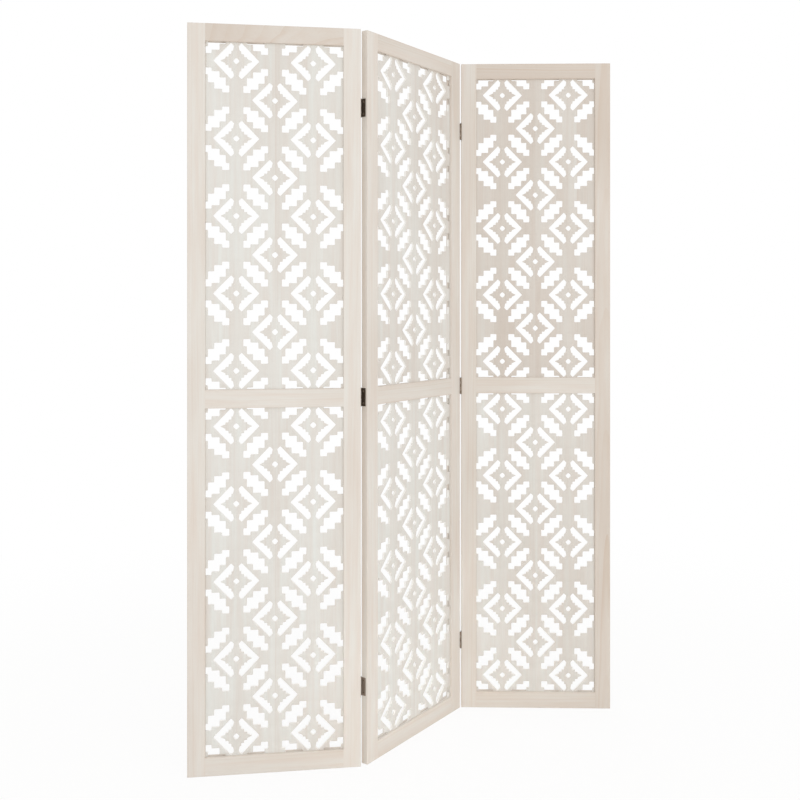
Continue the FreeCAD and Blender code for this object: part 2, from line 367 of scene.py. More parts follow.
@dataclass(frozen=True)
class WhitewashedWood:
    """Paulownia, planed, brushed with a thin whitewash and sealed matt.

    The eye sees a warm off-white with soft growth rings and short darker pores where the wash sank in, streaks
    where it lies thicker and patches where it is scant. Arrises show wear in a tone of their own; the frame's groove
    lips take painted shade, and the panels' sawn edges a painted highlight, in the edge tone.
    """

    name: str
    makeup: Makeup
    wash: str
    thick_wash: str
    scant_wash: str
    wood: str
    # Colour where arrises show wear, and the colour of painted light: painted shade on the frame's groove lips, and
    # on the panels a painted highlight on the walls of the cut-outs.
    edge: str
    rings_show: float
    rings_show_in_scant_wash: float
    ring_spacing: float = 6 * MM
    ring_wander: float = 9 * MM
    wander_across: float = 45 * MM
    wander_along: float = 300 * MM
    latewood_from: float = 0.35
    years_without_line: float = 0.33
    # Pores are about 0.3 mm wide on the real wood: drawn wider, so that they show at all.
    pore_width: float = 1.6 * MM
    pore_length: float = 55 * MM
    pore_range: tuple[float, float] = (0.52, 0.74)
    pores_show: float = 0.08
    streak_across: float = 14 * MM
    streak_along: float = 220 * MM
    streak_range: tuple[float, float] = (0.3, 0.7)
    patch_across: float = 90 * MM
    patch_along: float = 420 * MM
    patch_middle: float = 0.5
    patches_show: float = 0.9
    wear_and_painted_light_shows: float = 0.15
    speck_across: float = 2.5 * MM
    speck_along: float = 15 * MM
    roughness: float = 0.58
    roughness_of_bare: float = 0.22
    ior: float = 1.48
    relief: float = 0.15 * MM
    relief_strength: float = 0.35
    strip_width: float = 54.5 * MM
    strip_shift: tuple[float, float, float] = (120 * MM, 40 * MM, 3.0)
    strip_tone: float = 0.10
    # A glue line is a hair's breadth: drawn wider, so that it shows as a faint seam.
    seam_width: float = 0.7 * MM
    seam_shows: float = 0.10
    # Painted shade: a dark line on the panel along the left stile, standing in for the shade in the corner between
    # panel and frame.
    corner_shade_width: float = 1.8 * MM
    corner_shade_shows: float = 0.3

    def material(self, opening_width: float) -> bpy.types.Material:
        """Build the finish as a material that reads the marks on each piece.

        Args:
            opening_width: width of the frame's openings, along whose left sides the panels get a line of painted
                shade.

        Returns:
            The material.
        """
        material, tree = new_material(self.name)
        place = add_node(tree, "Attribute", attribute_name=GRAIN).outputs["Vector"]
        thin = 0.0
        if self.makeup is Makeup.STRIPS:
            place, thin = self.glued_strips(tree, place)
            # thin also takes the painted shade line along the left stile from here on
            thin = self.painted_corner_shade(tree, thin, opening_width)

        wander = self.stretched_noise(tree, place, self.wander_across, self.wander_along, detail=1.0)
        rings = self.growth_rings(tree, place, wander)
        pores = self.stretched_noise(tree, place, self.pore_width, self.pore_length, detail=2.0)
        streaks = self.stretched_noise(tree, place, self.streak_across, self.streak_along, detail=3.0)
        pores, streaks = (
            add_node(tree, "MapRange", {"Value": noise, "From Min": low, "From Max": high})
            for noise, (low, high) in ((pores, self.pore_range), (streaks, self.streak_range)))
        bare = add_node(tree, "Attribute", attribute_name=WEAR_AND_PAINTED_LIGHT).outputs["Fac"]
        specks = self.stretched_noise(tree, place, self.speck_across, self.speck_along, detail=2.0)
        # On the panels this share is mostly a painted highlight on the cut-out walls; on the frames it is arris wear
        # plus painted shade on the groove lips
        wear_and_painted_light_share = add_node(tree, "Math", {0: bare, 1: specks}, operation="MULTIPLY")
        wear_and_painted_light_share = add_node(tree, "Math", {0: wear_and_painted_light_share, 1: self.wear_and_painted_light_shows}, operation="MULTIPLY")
        scant = add_node(tree, "Attribute", attribute_name=SCANT).outputs["Fac"]
        patches = self.stretched_noise(tree, place, self.patch_across, self.patch_along, detail=1.0)
        patches = add_node(tree, "Math", {0: patches, 1: self.patch_middle}, operation="SUBTRACT")
        scant = add_node(tree, "Math", {0: patches, 1: self.patches_show, 2: scant},
                         operation="MULTIPLY_ADD", use_clamp=True)
        ring_share = add_node(tree, "Math",
                              {0: scant, 1: self.rings_show_in_scant_wash, 2: self.rings_show},
                              operation="MULTIPLY_ADD")
        for amount, share in ((rings, ring_share), (pores, self.pores_show)):
            thin = add_node(tree, "Math", {0: amount, 1: share, 2: thin}, operation="MULTIPLY_ADD", use_clamp=True)

        colour = linear(self.wash)
        for share, tone in ((streaks, self.thick_wash), (scant, self.scant_wash), (thin, self.wood),
                            (wear_and_painted_light_share, self.edge)):
            colour = add_node(tree, "Mix", {"Factor": share, "A": colour, "B": linear(tone)}, data_type="RGBA")
        rough = add_node(tree, "Math", {0: thin, 1: self.roughness_of_bare, 2: self.roughness},
                         operation="MULTIPLY_ADD")
        sunk = add_node(tree, "Math", {0: wander, 1: pores}, operation="SUBTRACT")
        bump = add_node(tree, "Bump", {"Strength": self.relief_strength, "Distance": self.relief, "Height": sunk})
        shader = add_node(tree, "BsdfPrincipled",
                          {"Base Color": colour, "Roughness": rough, "Normal": bump, "IOR": self.ior})
        add_node(tree, "OutputMaterial", {"Surface": shader})
        return material

    def painted_corner_shade(self, tree: bpy.types.NodeTree, thin: bpy.types.Node,
                            opening_width: float) -> bpy.types.Node:
        """Draw the fine dark line between a panel and the left stile: painted shade in the corner where the panel
        meets the stile.

        Args:
            tree: the material's nodes.
            thin: how thin the wash is so far.
            opening_width: width of the opening.

        Returns:
            How thin the wash is with the line.
        """
        side = opening_width / 2
        place = add_node(tree, "Attribute", attribute_name=OPENING).outputs["Fac"]
        line = add_node(tree, "MapRange",
                        {"Value": place, "From Min": self.corner_shade_width - side, "From Max": -side},
                        interpolation_type="SMOOTHSTEP")
        return add_node(tree, "Math", {0: line, 1: self.corner_shade_shows, 2: thin}, operation="MULTIPLY_ADD")

    def stretched_noise(self, tree: bpy.types.NodeTree, place: bpy.types.NodeSocket, across: float, along: float,
                        detail: float) -> bpy.types.Node:
        """Noise drawn out along the grain.

        Args:
            tree: the material's nodes.
            place: the socket that gives the place in the wood.
            across: size of the noise across the grain.
            along: size of the noise along the grain.
            detail: how many finer layers it has.

        Returns:
            The noise node.
        """
        scaled = add_node(tree, "VectorMath", {0: place, 1: (1 / across, 1 / across, 1 / along)},
                          operation="MULTIPLY")
        return add_node(tree, "TexNoise", {"Vector": scaled, "Scale": 1.0, "Detail": detail})

    def growth_rings(self, tree: bpy.types.NodeTree, place: bpy.types.NodeSocket,
                     wander: bpy.types.Node) -> bpy.types.Node:
        """Latewood lines: the distance from the heart of the tree, bent a little, as a share of a year's growth.

        Years differ: each draws its own strength by chance, and the weakest third leave no line.

        Args:
            tree: the material's nodes.
            place: the socket that gives the place in the wood, with the heart along its Z axis.
            wander: noise that bends the rings.

        Returns:
            A node that rises slowly through each year and drops at its end.
        """
        level = add_node(tree, "VectorMath", {0: place, 1: (1, 1, 0)}, operation="MULTIPLY")
        heart = add_node(tree, "VectorMath", {0: level}, operation="LENGTH").outputs["Value"]
        bent = add_node(tree, "Math", {0: wander, 1: self.ring_wander, 2: heart}, operation="MULTIPLY_ADD")
        years = add_node(tree, "Math", {0: bent, 1: self.ring_spacing}, operation="DIVIDE")
        season = add_node(tree, "Math", {0: years}, operation="FRACT")
        late = add_node(tree, "MapRange", {"Value": season, "From Min": self.latewood_from, "From Max": 1.0},
                        interpolation_type="SMOOTHSTEP")
        year = add_node(tree, "Math", {0: years}, operation="FLOOR")
        pick = add_node(tree, "TexWhiteNoise", {"W": year}, noise_dimensions="1D").outputs["Value"]
        strength = add_node(tree, "MapRange", {"Value": pick, "From Min": self.years_without_line, "From Max": 1.0})
        return add_node(tree, "Math", {0: late, 1: strength}, operation="MULTIPLY")

    def glued_strips(self, tree: bpy.types.NodeTree,
                     place: bpy.types.NodeSocket) -> tuple[bpy.types.NodeSocket, bpy.types.Node]:
        """Give every strip of a panel its own piece of the tree, and mark the seams between strips.

        Args:
            tree: the material's nodes.
            place: the socket that gives the place in the panel.

        Returns:
            The place in the tree, and how much the seams and the strips' own tone thin the wash.
        """
        half = 0.5
        axes = add_node(tree, "SeparateXYZ", {"Vector": place})
        strips = add_node(tree, "Math", {0: axes.outputs["X"], 1: self.strip_width}, operation="DIVIDE")
        number = add_node(tree, "Math", {0: strips}, operation="FLOOR")
        pick = add_node(tree, "TexWhiteNoise", {"W": number}, noise_dimensions="1D")
        centred = add_node(tree, "VectorMath", {0: pick.outputs["Color"], 1: (half, 0, half)}, operation="SUBTRACT")
        shift = add_node(tree, "VectorMath", {0: centred, 1: self.strip_shift}, operation="MULTIPLY")
        moved = add_node(tree, "VectorMath", {0: place, 1: shift}, operation="ADD")
        left_edge = add_node(tree, "Math", {0: number, 1: self.strip_width}, operation="MULTIPLY")
        origin = add_node(tree, "CombineXYZ", {"X": left_edge})
        own = add_node(tree, "VectorMath", {0: moved, 1: origin}, operation="SUBTRACT")
        within = add_node(tree, "Math", {0: strips}, operation="FRACT")
        seam = add_node(tree, "Math", {0: within, 1: self.seam_width / self.strip_width}, operation="LESS_THAN")
        marked = add_node(tree, "Math", {0: pick.outputs["Value"], 1: self.strip_tone}, operation="MULTIPLY")
        thin = add_node(tree, "Math", {0: seam, 1: self.seam_shows, 2: marked}, operation="MULTIPLY_ADD")
        return own.outputs["Vector"], thin


@dataclass(frozen=True)
class BronzedSteel:
    """Pressed mild steel with a dark bronze plating, satin.

    The eye sees a brown-black metal with a soft, slightly cloudy shine, and a warmer edge where handling
    has polished the plating.
    """

    name: str
    plating: str
    polished: str
    cloud: float = 6 * MM
    # The plating's pebble is finer than this on the real hinge: drawn coarser, so that it breaks up the shine.
    pebble: float = 0.5 * MM
    pebble_depth: float = 0.05 * MM
    pebble_strength: float = 0.15
    metallic: float = 0.35
    roughness: float = 0.36
    cloudy_roughness: float = 0.2

    def material(self) -> bpy.types.Material:
        """Build the finish as a material.

        Returns:
            The material.
        """
        material, tree = new_material(self.name)
        place = add_node(tree, "TexCoord").outputs["Object"]
        cloud = add_node(tree, "TexNoise", {"Vector": place, "Scale": 1 / self.cloud, "Detail": 3.0})
        pebble = add_node(tree, "TexNoise", {"Vector": place, "Scale": 1 / self.pebble, "Detail": 1.0})
        bare = add_node(tree, "Attribute", attribute_name=WEAR_AND_PAINTED_LIGHT).outputs["Fac"]
        wear_and_painted_light_share = add_node(tree, "Math", {0: bare, 1: cloud}, operation="MULTIPLY", use_clamp=True)
        colour = add_node(tree, "Mix", {"Factor": wear_and_painted_light_share, "A": linear(self.plating), "B": linear(self.polished)},
                          data_type="RGBA")
        rough = add_node(tree, "Math", {0: cloud, 1: self.cloudy_roughness, 2: self.roughness},
                         operation="MULTIPLY_ADD")
        bump = add_node(tree, "Bump",
                        {"Strength": self.pebble_strength, "Distance": self.pebble_depth, "Height": pebble})
        shader = add_node(tree, "BsdfPrincipled",
                          {"Base Color": colour, "Metallic": self.metallic, "Roughness": rough, "Normal": bump})
        add_node(tree, "OutputMaterial", {"Surface": shader})
        return material


@dataclass(frozen=True)
class BeechDowel:
    """Turned beech, left plain: pinkish brown with short dark rays along the grain."""

    name: str
    turn: float
    early: str = "#cfa981"
    ray: str = "#a97b52"
    ray_width: float = 0.8 * MM
    ray_length: float = 6 * MM
    ray_range: tuple[float, float] = (0.5, 0.7)
    ray_depth: float = 0.1 * MM
    ray_strength: float = 0.2
    roughness: float = 0.6
    ior: float = 1.5

    def material(self) -> bpy.types.Material:
        """Build the finish as a material whose rays run along the leaf's rails.

        Returns:
            The material.
        """
        material, tree = new_material(self.name)
        place = add_node(tree, "TexCoord").outputs["Object"]
        scale = (1 / self.ray_length, 1 / self.ray_width, 1 / self.ray_width)
        along = add_node(tree, "Mapping", {"Vector": place, "Rotation": (0, 0, -self.turn), "Scale": scale})
        rays = add_node(tree, "TexNoise", {"Vector": along, "Scale": 1.0, "Detail": 2.0})
        low, high = self.ray_range
        shown = add_node(tree, "MapRange", {"Value": rays, "From Min": low, "From Max": high})
        colour = add_node(tree, "Mix", {"Factor": shown, "A": linear(self.early), "B": linear(self.ray)},
                          data_type="RGBA")
        bump = add_node(tree, "Bump", {"Strength": self.ray_strength, "Distance": self.ray_depth, "Height": rays})
        shader = add_node(tree, "BsdfPrincipled",
                          {"Base Color": colour, "Roughness": self.roughness, "Normal": bump, "IOR": self.ior})
        add_node(tree, "OutputMaterial", {"Surface": shader})
        return material


# Frame of a leaf

class Coverage(Enum):
    """How the wash covers a board: the value is how scant it is."""

    FULL = 0.0
    GOOD = 0.18
    THIN = 0.45
    SCANT = 0.65


@dataclass(frozen=True)
class Sawing:
    """Where a board lay in the log: its place beside and before the heart, and how it leans along its length.

    Rings outside the core widen evenly with their distance from it, by one for each length of crowding.
    """

    beside: float = 0.0
    before: float = 0.0
    lean_beside: float = 0.0
    lean_before: float = 0.0
    start: float = 0.0
    core: float = 0.0
    crowding: float = 10.0

    def place(self, across: np.ndarray, through: np.ndarray, along: np.ndarray) -> np.ndarray:
        """Turn places on the board into places in the tree, whose heart runs along Z.

        Args:
            across: distance across the board's face.
            through: distance from its front.
            along: distance along its length.

        Returns:
            The places, one row each.
        """
        beside = across + self.beside + self.lean_beside * along
        before = through + self.before + self.lean_before * along
        heart = np.hypot(beside, before)
        drawn = self.crowding * np.log1p((heart - self.core) / self.crowding) / heart
        return np.stack([beside * drawn, before * drawn, along + self.start], axis=-1)


class Figure(Enum):
    """How a board was sawn from the log, which sets the figure on its face.

    The value is the usual place in the log, and how far boards differ in each of its first five measures.
    """

    FLAT = Sawing(before=24 * MM), (12 * MM, 8 * MM, 0.008, 0.02, 5.0)
    QUARTER = Sawing(beside=70 * MM), (25 * MM, 10 * MM, 0.006, 0.01, 5.0)
    # Sawn across the run of the grain
    SLANTED = (Sawing(beside=67 * MM, before=-332 * MM, lean_before=1.0, core=60 * MM, crowding=26 * MM),
               (0.0, 0.0, 0.0, 0.0, 5.0))

    def pick(self, chance: np.random.Generator) -> Sawing:
        """Choose a board's place in the log.

        Args:
            chance: the seeded source of the small differences between boards.

        Returns:
            The place.
        """
        usual, spread = self.value
        measures = np.array(astuple(usual))
        measures[:len(spread)] += chance.uniform(-1, 1, len(spread)) * spread
        return Sawing(*measures)


@dataclass(frozen=True)
class Station:
    """One ring of a board: where it lies along the board, and how its low and high edges are worked there."""

    along: float
    low_arris: float
    high_arris: float
    low_groove: float = 0.0
    high_groove: float = 0.0
    low_ease: float = 0.0
    face_ease: float = 0.0


@dataclass(frozen=True)
class FrameSizes:
    """Sizes of a leaf's frame, as the CAD solids have them."""

    height: float = 1700 * MM
    width: float = 392 * MM
    thickness: float = 17 * MM
    stile_width: float = 40 * MM
    top_rail_height: float = 40 * MM
    middle_rail_height: float = 42 * MM
    bottom_rail_height: float = 42 * MM
    groove_depth: float = 8 * MM
    groove_front: float = 5.9 * MM
    arris: float = 1.2 * MM
    joint_arris: float = 0.15 * MM
    rubbed_band: float = 2.2 * MM
    arris_steps: int = 3

    @property
    def opening_width(self) -> float:
        """Clear width between the stiles."""
        return self.width - 2 * self.stile_width

    @property
    def opening_height(self) -> float:
        """Clear height of each of the two openings."""
        rails = self.top_rail_height + self.middle_rail_height + self.bottom_rail_height
        return (self.height - rails) / 2

    @property
    def openings(self) -> list[tuple[float, float]]:
        """Bottom and top of each opening, from the lower one up."""
        lower = self.bottom_rail_height
        upper = lower + self.opening_height + self.middle_rail_height
        return [(bottom, bottom + self.opening_height) for bottom in (lower, upper)]


@dataclass(frozen=True)
class LeafPlace:
    """Where a leaf stands in the row frame: its front left bottom corner, and its turn about the upright."""

    x: float
    y: float
    turn: float

    @staticmethod
    def from_pin(joint: str, pin_x: float, pin_y: float, turn: float) -> "LeafPlace":
        """Find a leaf's place from a hinge pin whose place in the leaf is known.

        Args:
            joint: the name of the joint whose pin it is.
            pin_x: the pin's place across the leaf.
            pin_y: the pin's place through the leaf.
            turn: the leaf's turn about the upright.

        Returns:
            The place.
        """
        pin = next(j["pos_m"] for j in frame["joints"] if j["name"] == joint)
        cos, sin = math.cos(turn), math.sin(turn)
        return LeafPlace(pin[0] - cos * pin_x + sin * pin_y, pin[1] - sin * pin_x - cos * pin_y, turn)

    def to_frame(self, points: np.ndarray) -> np.ndarray:
        """Turn points in the leaf into points in the row frame: a turn about the upright and a shift.

        Args:
            points: the points, one row each.

        Returns:
            The same points in the row frame.
        """
        cos, sin = math.cos(self.turn), math.sin(self.turn)
        x, y, z = points.T
        return np.stack([self.x + cos * x - sin * y, self.y + sin * x + cos * y, z], axis=1)


@dataclass
class LeafFrame:
    """Stiles and rails of one leaf."""

    leaf: str
    place: LeafPlace
    sizes: FrameSizes
    figures: dict[str, Figure]
    coverage: dict[str, Coverage]
    chance: np.random.Generator
    # Painted shade on the left stile's groove lip beside the panel, standing in for the shade in that corner.
    left_stile_lip_shade: float = 1.1

    def stile_stations(self) -> list[Station]:
        """Rings up a stile whose high edge is the inner one.

        The ends are eased on the faces and the outer edge. Grooves and the inner arris run along the openings only,
        so that the rails' ends meet the stile flush.

        Returns:
            The rings, from the bottom up.
        """
        s = self.sizes
        taper = 2 * MM
        tight, deep = s.joint_arris, s.groove_depth
        foot = [Station(up, max(s.arris - ease, tight), tight, 0, 0, ease, ease)
                for ease, up in zip(*quarter_round(s.arris, s.arris_steps))]
        head = [replace(station, along=s.height - station.along) for station in reversed(foot)]
        middle = []
        for bottom, top in s.openings:
            low, high = bottom - deep, top + deep
            middle += [Station(along, s.arris, arris, 0, groove) for along, arris, groove in (
                (low, tight, 0), (low, tight, deep), (bottom, tight, deep), (bottom + taper, s.arris, deep),
                (top - taper, s.arris, deep), (top, tight, deep), (high, tight, deep), (high, tight, 0))]
        return foot + middle + head

    def rail_stations(self, grooved_below: bool, grooved_above: bool) -> list[Station]:
        """Rings along a rail, which is the same all along.

        Args:
            grooved_below: whether a panel stands in its lower edge.
            grooved_above: whether a panel stands in its upper edge.

        Returns:
            The two end rings.
        """
        s = self.sizes
        low, high = s.groove_depth * grooved_below, s.groove_depth * grooved_above
        return [Station(along, s.arris, s.arris, low, high) for along in (0.0, s.opening_width)]

    def board(self, stations: list[Station], width: float, lip_shade: float = 0.0) -> tuple[np.ndarray, np.ndarray]:
        """Carry a board's profile along its length.

        The profile is a rectangle with quarter-round corners and a groove in either edge. Each ring has its own
        corner radii, groove depths and easing, so the surface is a function of the ring and the point on it.

        Args:
            stations: the rings.
            width: the board's width across its face.
            lip_shade: how much painted shade darkens the front lip of the groove in its high edge, beside the panel.

        Returns:
            Points as rings by points by (across, through, along), and the wear and painted shade of each one.
        """
        s = self.sizes
        along, low_arris, high_arris, low_groove, high_groove, low, front = np.array(
            [astuple(station) for station in stations]).T[:, :, None]
        high, back = np.full_like(along, width), s.thickness - front
        groove_front = np.full_like(along, s.groove_front)
        groove_back = s.thickness - groove_front

        def corner(across: np.ndarray, through: np.ndarray, radius: np.ndarray, start: float) -> list[np.ndarray]:
            """Quarter round about a centre, with one more point on the flat on either side of it."""
            angle = start + np.linspace(0, np.pi / 2, s.arris_steps + 1)[None]
            a, t = across + radius * np.cos(angle), through + radius * np.sin(angle)
            before = (a[:, :1] + s.rubbed_band * np.sin(start), t[:, :1] - s.rubbed_band * np.cos(start))
            end = start + np.pi / 2
            after = (a[:, -1:] - s.rubbed_band * np.sin(end), t[:, -1:] + s.rubbed_band * np.cos(end))
            return [np.hstack([before[0], a, after[0]]), np.hstack([before[1], t, after[1]])]

        high_lip = [np.hstack([high, high - high_groove, high - high_groove, high]),
                    np.hstack([groove_front, groove_front, groove_back, groove_back])]
        low_lip = [np.hstack([low, low + low_groove, low + low_groove, low]),
                   np.hstack([groove_back, groove_back, groove_front, groove_front])]
        runs = [
            corner(high - high_arris, front + high_arris, high_arris, -np.pi / 2), high_lip,
            corner(high - high_arris, back - high_arris, high_arris, 0.0),
            corner(low + low_arris, back - low_arris, low_arris, np.pi / 2), low_lip,
            corner(low + low_arris, front + low_arris, low_arris, np.pi),
        ]
        across = np.hstack([run[0] for run in runs])
        through = np.hstack([run[1] for run in runs])
        lightly = 0.6
        worn_corner = np.r_[0, lightly, np.ones(s.arris_steps - 1), lightly, 0]
        # Painted shade on the groove's front lip, carried in the same mark as the wear on the arrises
        shaded_lip, clean = lip_shade * np.array([1, 0, 0, 0]), np.zeros(4)
        wear_and_painted_light_share = np.concatenate([worn_corner, shaded_lip, worn_corner, worn_corner, clean, worn_corner])
        grid = np.stack([across, through, np.broadcast_to(along, across.shape)], axis=-1)
        return grid, np.broadcast_to(wear_and_painted_light_share, across.shape)

    def add_board(self, part: str, grid: np.ndarray, bare: np.ndarray, corner: tuple[float, float],
                  upright: bool, mirrored: bool, material: bpy.types.Material) -> None:
        """Stand a board in the leaf and add it as a piece.

        Args:
            part: the board's name in the leaf.
            grid: its points, as board() gives them.
            bare: the wear and painted light of each point.
            corner: where its low edge and start lie in the leaf, across and up.
            upright: whether its length runs up, and not across.
            mirrored: whether its low edge lies on the right.
            material: its finish.
        """
        across, through, along = np.moveaxis(grid, -1, 0)
        grain = self.figures[part].pick(self.chance).place(across, through, along).reshape(-1, 3)
        if upright:
            across = -across if mirrored else across
            points = np.stack([corner[0] + across, through, corner[1] + along], axis=-1)
        else:
            points = np.stack([corner[0] + along, through, corner[1] + across], axis=-1)
        surface = carried_profile(points, bare)
        surface.points = self.place.to_frame(surface.points)
        node = f"{self.leaf}_{part}"
        marks = {GRAIN: grain, SCANT: np.full(len(grain), self.coverage[part].value)}
        piece = add_piece(f"{node}_board", surface, marks, material, self.leaf, node)
        piece.modifiers.new("flat_faces_stay_flat", "WEIGHTED_NORMAL").keep_sharp = True

    def build(self, material: bpy.types.Material) -> None:
        """Make the two stiles and three rails.

        Args:
            material: their finish.
        """
        s = self.sizes
        left_stile = self.board(self.stile_stations(), s.stile_width, self.left_stile_lip_shade)
        right_stile = self.board(self.stile_stations(), s.stile_width)
        self.add_board("left_stile", *left_stile, (0.0, 0.0), True, False, material)
        self.add_board("right_stile", *right_stile, (s.width, 0.0), True, True, material)
        (_, lower_top), (_, upper_top) = s.openings
        for part, bottom, height, below, above in (
            ("bottom_rail", 0.0, s.bottom_rail_height, False, True),
            ("middle_rail", lower_top, s.middle_rail_height, True, True),
            ("top_rail", upper_top, s.top_rail_height, True, False),
        ):
            rail = self.board(self.rail_stations(below, above), height)
            self.add_board(part, *rail, (s.stile_width, bottom), False, False, material)


# Fretwork

@dataclass(frozen=True)
class Fretwork:
    """Pattern of a pierced panel, drawn on a grid of cells: diamonds on every other grid point, and a stepped
    block half-way between each two neighbours."""

    panel_width: float = 327 * MM
    panel_height: float = 803 * MM
    panel_thickness: float = 5 * MM
    uncut_border: float = 5 * MM
    cell_across: float = 7.91 * MM
    cell_up: float = 8 * MM
    spacing: int = 11
    columns: int = 2
    rows: int = 5
    dot_diagonal: float = 16 * MM
    block_steps: tuple[float, ...] = (2.0, 2.25, 1.75, 1.0)
    chevron_tip: tuple[float, float] = (6.55, 0.0)
    chevron_arm_end: tuple[tuple[float, float], ...] = ((1.5, 5.15), (0.65, 4.3))
    chevron_inner_steps: tuple[tuple[float, float], ...] = (
        (0.97, 2.85), (1.4, 2.85), (1.4, 1.97), (2.22, 1.97), (2.22, 1.17), (3.1, 1.17), (3.1, 0.65))
    chevron_notch: tuple[float, float] = (4.55, 0.0)
    corner_radius: float = 2.0 * MM
    dot_corner_radius: float = 3.6 * MM
    corner_steps: int = 3
    arris: float = 0.5 * MM
    arris_steps: int = 2

    @property
    def cell(self) -> np.ndarray:
        """Size of one cell across and up."""
        return np.array([self.cell_across, self.cell_up])

    def chevron(self) -> np.ndarray:
        """Right-hand chevron of a diamond in cells: its upper half, and the lower half as its mirror image."""
        upper = np.array([self.chevron_tip, *self.chevron_arm_end, *self.chevron_inner_steps, self.chevron_notch])
        return np.concatenate([upper, upper[-2:0:-1] * (1, -1)])

    def block(self) -> np.ndarray:
        """Stepped block in cells: a staircase up its right side, and the same with the axes swapped down its left."""
        steps = np.array(self.block_steps)
        start = -steps.sum() / 2
        across = start + np.r_[0, np.cumsum(steps)]
        up = start + np.r_[0, np.cumsum(steps[::-1])]
        right = np.stack([np.r_[across[0], np.repeat(across[1:], 2)], np.r_[np.repeat(up[:-1], 2), up[-1]]], axis=1)
        return np.concatenate([right, right[-2:0:-1, ::-1]])

    def cut_short(self, outline: np.ndarray) -> np.ndarray:
        """End an outline at the border that stays uncut above and below.

        Points past the border are pulled back to it. Only the first and the last of them stay.

        Args:
            outline: the outline's corners.

        Returns:
            The outline within the border.
        """
        limit = self.panel_height / 2 - self.uncut_border
        past = np.abs(outline[:, 1]) > limit
        if not past.any():
            return outline
        first = int(np.argmax(past & ~np.roll(past, 1)))
        outline, past = np.roll(outline, -first, axis=0), np.roll(past, -first)
        run = int(past.sum())
        pulled = np.clip(outline, (-np.inf, -limit), (np.inf, limit))
        return np.concatenate([pulled[[0, run - 1]], pulled[run:]])

    def cut_outs(self) -> list[np.ndarray]:
        """Outlines of all cut-outs, with rounded corners, centred on the panel.

        Returns:
            One array of points for each cut-out.
        """
        step = self.spacing * self.cell
        half = np.array([self.panel_width, self.panel_height]) / 2 - self.uncut_border
        column, row = np.meshgrid(np.arange(-self.columns, self.columns + 1),
                                  np.arange(-self.rows, self.rows + 1), indexing="ij")
        grid = np.stack([column.ravel(), row.ravel()], axis=1)
        is_diamond = grid.sum(axis=1) % 2 == 1
        diamond_reach = np.array([self.chevron_tip[0], self.chevron_arm_end[0][1]]) * self.cell
        diamonds = grid * step
        diamonds = diamonds[is_diamond & np.all(np.abs(diamonds) + diamond_reach < half, axis=1)]
        lean = np.where(is_diamond, -1, 1)
        blocks = (grid + 0.5) * step
        in_sight = np.all(np.abs(blocks) < half, axis=1)

        dot = self.dot_diagonal / 2 * np.array([(1, 0), (0, 1), (-1, 0), (0, -1)])
        dot = rounded(dot, self.dot_corner_radius, self.corner_steps)
        dots = [centre + dot for centre in diamonds]
        chevrons = [centre + self.chevron() * (side, 1) * self.cell for centre in diamonds for side in (-1, 1)]
        stepped = [self.cut_short(centre + self.block() * (way, 1) * self.cell)
                   for centre, way in zip(blocks[in_sight], lean[in_sight])]
        angular = [rounded(outline, self.corner_radius, self.corner_steps) for outline in chevrons + stepped]
        return dots + angular

    def sheet(self) -> Surface:
        """Pierced panel centred on its own origin, with its front at depth 0.

        Every cut edge has a small quarter-round arris on both faces.

        Returns:
            The panel's surface.
        """
        half = np.array([self.panel_width, self.panel_height]) / 2
        edge = half * np.array([(-1, -1), (1, -1), (1, 1), (-1, 1)])
        loops = [turned_left(edge, True)] + [turned_left(loop, False) for loop in self.cut_outs()]
        inset, depth = quarter_round(self.arris, self.arris_steps)
        insets = np.repeat(np.r_[inset, inset[::-1]][:, None], len(loops), axis=1)
        depths = np.r_[depth, self.panel_thickness - depth[::-1]]
        # Painted highlight: the cut walls get the most of it, their arrises part of it
        bare = np.linspace(0, 1, self.arris_steps + 1)
        return pierced_sheet(loops, insets, depths, np.r_[bare, bare[::-1]])


@dataclass
class FretPanels:
    """Upper and lower fretwork panel of one leaf."""

    leaf: str
    place: LeafPlace
    sizes: FrameSizes
    pattern: Fretwork
    coverage: dict[str, Coverage]
    strip_width: float
    number: int
    strips_apart: int = 41

    def build(self, sheet: Surface, material: bpy.types.Material) -> None:
        """Stand a copy of the pierced sheet in each opening.

        Painted shade darkens its faces along the left stile. The painted highlight on the walls of its cut-outs is
        left off behind the frame's lip, so those walls keep their wash.

        Args:
            sheet: the panel, centred on its own origin.
            material: its finish.
        """
        s = self.sizes
        front = (s.thickness - self.pattern.panel_thickness) / 2
        x, depth, z = sheet.points.T
        on_face = (depth == depth.min()) | (depth == depth.max())
        behind_lip = np.abs(x) > s.opening_width / 2
        parts = ("lower_fret_panel", "upper_fret_panel")
        for number, (part, (bottom, top)) in enumerate(zip(parts, s.openings), len(parts) * self.number):
            points = sheet.points + (s.width / 2, front, (bottom + top) / 2)
            # no painted highlight on the walls of cut-outs behind the frame's lip
            surface = replace(sheet, points=self.place.to_frame(points), bare=sheet.bare * ~behind_lip)
            across = x + number * self.strips_apart * self.strip_width
            # OPENING gives the place across the opening on the faces only, where the material paints the shade line
            marks = {GRAIN: np.stack([across, depth, z], axis=1), OPENING: x * on_face,
                     SCANT: np.full(len(x), self.coverage[part].value)}
            node = f"{self.leaf}_{part}"
            add_piece(f"{node}_pierced", surface, marks, material, self.leaf, node)


# Hinges

@dataclass(frozen=True)
class PinSide:
    """A pin as one leaf sees it: its place in the leaf, and which way the leaf's edge and body lie from it."""

    x: float
    y: float
    edge_way: int
    body_way: int

    def to_leaf(self, points: np.ndarray, height: float) -> np.ndarray:
        """Turn points about the pin (towards the edge, into the leaf, up) into points in the leaf."""
        return points * (self.edge_way, self.body_way, 1) + (self.x, self.y, height)


